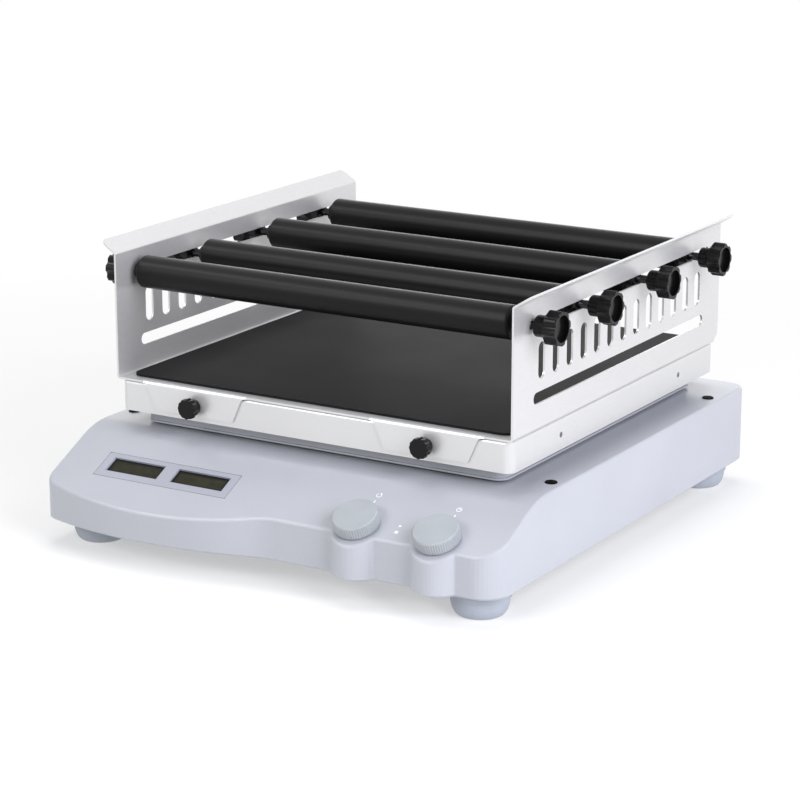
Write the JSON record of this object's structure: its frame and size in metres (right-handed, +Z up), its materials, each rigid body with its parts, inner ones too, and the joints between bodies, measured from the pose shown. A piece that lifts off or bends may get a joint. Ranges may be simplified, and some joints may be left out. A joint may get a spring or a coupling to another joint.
{
  "type": "flask shaker",
  "caption": "Benchtop orbital flask shaker: moulded base with sloped control panel, eccentric drive, and a bent sheet carrier with clamp rollers.",
  "frame": {"origin": "on the bench, under the middle of the base; the box that bounds the shaker reaches 5.5 mm further to the right, where star knobs stand off the wall", "axes": "+X to the user's right, +Y from the control panel towards the rear, +Z up"},
  "size_m": [0.3765, 0.417, 0.2128],
  "materials": {
    "moulding": "satin moulded light grey",
    "control": "satin moulded light grey, ribbed",
    "foot_rubber": "matt blue-grey rubber",
    "black_plastic": "satin black",
    "display_glass": "dark olive display window",
    "board": "green circuit board",
    "sheet": "satin stainless sheet",
    "mat_rubber": "matt black ribbed rubber",
    "foam": "matt dark grey foam rubber",
    "steel": "bright zinc-plated steel",
    "alloy": "cast alloy",
    "iron": "grey cast iron",
    "belt": "black belt rubber"
  },
  "bodies": {
    "base": {"housing": "moulding", "base_plate": "steel", "feet": "foot_rubber", "foot_screws": "steel", "deck_plugs": "black_plastic", "housing_screws": "steel", "lcd_bezel": "moulding", "lcd_windows": "display_glass", "control_board": "board", "display_modules": "black_plastic", "encoder_bodies": "steel", "power_supply": "board", "mains_inlet": "black_plastic", "power_switch_frame": "black_plastic", "motor": "iron", "drive_belt": "belt", "main_bearing_housing": "alloy", "main_bearings": "steel", "guide_bearing_housings": "alloy"},
    "crank": {"crankshaft": "steel", "driven_pulley": "alloy", "counterweight": "iron"},
    "motor_rotor": {"motor_pulley": "alloy"},
    "guide_1": {"guide_crank_1": "steel"},
    "guide_2": {"guide_crank_2": "steel"},
    "guide_3": {"guide_crank_3": "steel"},
    "guide_4": {"guide_crank_4": "steel"},
    "table": {"table_plate": "alloy", "table_bearing": "steel", "table_tray": "moulding", "platform": "sheet", "platform_screws": "steel", "carrier": "sheet", "rubber_mat": "mat_rubber"},
    "speed_dial": {"speed_encoder_rotor": "steel", "speed_knob": "control"},
    "time_dial": {"time_encoder_rotor": "steel"},
    "time_button": {"time_knob": "control"},
    "power_rocker": {"power_switch_rocker": "black_plastic"},
    "roller_1": {"roller_1_sleeve": "foam", "roller_1_axle": "steel"},
    "star_right_1": {"star_knob_right_1": "black_plastic"},
    "star_left_1": {"star_knob_left_1": "black_plastic"},
    "roller_2": {"roller_2_sleeve": "foam", "roller_2_axle": "steel"},
    "star_right_2": {"star_knob_right_2": "black_plastic"},
    "star_left_2": {"star_knob_left_2": "black_plastic"},
    "roller_3": {"roller_3_sleeve": "foam", "roller_3_axle": "steel"},
    "star_right_3": {"star_knob_right_3": "black_plastic"},
    "star_left_3": {"star_knob_left_3": "black_plastic"},
    "roller_4": {"roller_4_sleeve": "foam", "roller_4_axle": "steel"},
    "star_right_4": {"star_knob_right_4": "black_plastic"},
    "star_left_4": {"star_knob_left_4": "black_plastic"},
    "thumb_front_left": {"thumb_screw_front_left": "black_plastic"},
    "thumb_front_right": {"thumb_screw_front_right": "black_plastic"},
    "thumb_rear_left": {"thumb_screw_rear_left": "black_plastic"},
    "thumb_rear_right": {"thumb_screw_rear_right": "black_plastic"}
  },
  "joints": [
    {"name": "crank_turn", "type": "hinge", "parent": "base", "child": "crank", "pos_m": [0, 0.0355, 0.06], "axis": [0, 0, 1], "continuous": true},
    {"name": "table_orbit", "type": "hinge", "parent": "crank", "child": "table", "pos_m": [0, 0.0305, 0.088], "axis": [0, 0, 1], "continuous": true},
    {"name": "motor_turn", "type": "hinge", "parent": "base", "child": "motor_rotor", "pos_m": [-0.11, 0.0355, 0.05], "axis": [0, 0, 1], "continuous": true},
    {"name": "guide_turn_1", "type": "hinge", "parent": "base", "child": "guide_1", "pos_m": [-0.105, -0.0695, 0.05], "axis": [0, 0, 1], "continuous": true},
    {"name": "guide_turn_2", "type": "hinge", "parent": "base", "child": "guide_2", "pos_m": [-0.105, 0.1405, 0.05], "axis": [0, 0, 1], "continuous": true},
    {"name": "guide_turn_3", "type": "hinge", "parent": "base", "child": "guide_3", "pos_m": [0.105, -0.0695, 0.05], "axis": [0, 0, 1], "continuous": true},
    {"name": "guide_turn_4", "type": "hinge", "parent": "base", "child": "guide_4", "pos_m": [0.105, 0.1405, 0.05], "axis": [0, 0, 1], "continuous": true},
    {"name": "speed_dial_turn", "type": "hinge", "parent": "base", "child": "speed_dial", "pos_m": [0.0734, -0.1837, 0.05275], "axis": [0, -0.4384, 0.8988], "continuous": true},
    {"name": "time_dial_turn", "type": "hinge", "parent": "base", "child": "time_dial", "pos_m": [0.1364, -0.1837, 0.05275], "axis": [0, -0.4384, 0.8988], "continuous": true},
    {"name": "time_knob_press", "type": "slide", "parent": "time_dial", "child": "time_button", "axis": [0, 0.4384, -0.8988], "range_m": [0, 0.001], "stiffness_N_per_m": 2000},
    {"name": "power_rocker_tilt", "type": "hinge", "parent": "base", "child": "power_rocker", "pos_m": [0.091, 0.2025, 0.0475], "axis": [0, 0, 1], "range_deg": [0, 18]},
    {"name": "roller_slide_1", "type": "slide", "parent": "table", "child": "roller_1", "axis": [0, 1, 0], "range_m": [-0.0021, 0.0229]},
    {"name": "star_right_1_turn", "type": "hinge", "parent": "roller_1", "child": "star_right_1", "pos_m": [0.17, -0.10599, 0.187], "axis": [1, 0, 0], "range_deg": [0, 360]},
    {"name": "star_left_1_turn", "type": "hinge", "parent": "roller_1", "child": "star_left_1", "pos_m": [-0.17, -0.10599, 0.187], "axis": [-1, 0, 0], "range_deg": [0, 360]},
    {"name": "roller_slide_2", "type": "slide", "parent": "table", "child": "roller_2", "axis": [0, 1, 0], "range_m": [-0.0229, 0.0329]},
    {"name": "star_right_2_turn", "type": "hinge", "parent": "roller_2", "child": "star_right_2", "pos_m": [0.17, -0.03451, 0.187], "axis": [1, 0, 0], "range_deg": [0, 360]},
    {"name": "star_left_2_turn", "type": "hinge", "parent": "roller_2", "child": "star_left_2", "pos_m": [-0.17, -0.03451, 0.187], "axis": [-1, 0, 0], "range_deg": [0, 360]},
    {"name": "roller_slide_3", "type": "slide", "parent": "table", "child": "roller_3", "axis": [0, 1, 0], "range_m": [-0.0329, 0.0319]},
    {"name": "star_right_3_turn", "type": "hinge", "parent": "roller_3", "child": "star_right_3", "pos_m": [0.17, 0.057, 0.187], "axis": [1, 0, 0], "range_deg": [0, 360]},
    {"name": "star_left_3_turn", "type": "hinge", "parent": "roller_3", "child": "star_left_3", "pos_m": [-0.17, 0.057, 0.187], "axis": [-1, 0, 0], "range_deg": [0, 360]},
    {"name": "roller_slide_4", "type": "slide", "parent": "table", "child": "roller_4", "axis": [0, 1, 0], "range_m": [-0.0319, 0.0225]},
    {"name": "star_right_4_turn", "type": "hinge", "parent": "roller_4", "child": "star_right_4", "pos_m": [0.17, 0.14651, 0.187], "axis": [1, 0, 0], "range_deg": [0, 360]},
    {"name": "star_left_4_turn", "type": "hinge", "parent": "roller_4", "child": "star_left_4", "pos_m": [-0.17, 0.14651, 0.187], "axis": [-1, 0, 0], "range_deg": [0, 360]},
    {"name": "thumb_front_left_turn", "type": "hinge", "parent": "table", "child": "thumb_front_left", "pos_m": [-0.0965, -0.1345, 0.0995], "axis": [0, -1, 0], "range_deg": [0, 360]},
    {"name": "thumb_front_right_turn", "type": "hinge", "parent": "table", "child": "thumb_front_right", "pos_m": [0.0965, -0.1345, 0.0995], "axis": [0, -1, 0], "range_deg": [0, 360]},
    {"name": "thumb_rear_left_turn", "type": "hinge", "parent": "table", "child": "thumb_rear_left", "pos_m": [-0.0965, 0.1955, 0.0995], "axis": [0, 1, 0], "range_deg": [0, 360]},
    {"name": "thumb_rear_right_turn", "type": "hinge", "parent": "table", "child": "thumb_rear_right", "pos_m": [0.0965, 0.1955, 0.0995], "axis": [0, 1, 0], "range_deg": [0, 360]}
  ],
  "couplings": [
    {"joint": "table_orbit", "follows": "crank_turn", "ratio": -1},
    {"joint": "motor_turn", "follows": "crank_turn", "ratio": 3.963},
    {"joint": "guide_turn_1", "follows": "crank_turn", "ratio": 1},
    {"joint": "guide_turn_2", "follows": "crank_turn", "ratio": 1},
    {"joint": "guide_turn_3", "follows": "crank_turn", "ratio": 1},
    {"joint": "guide_turn_4", "follows": "crank_turn", "ratio": 1}
  ]
}
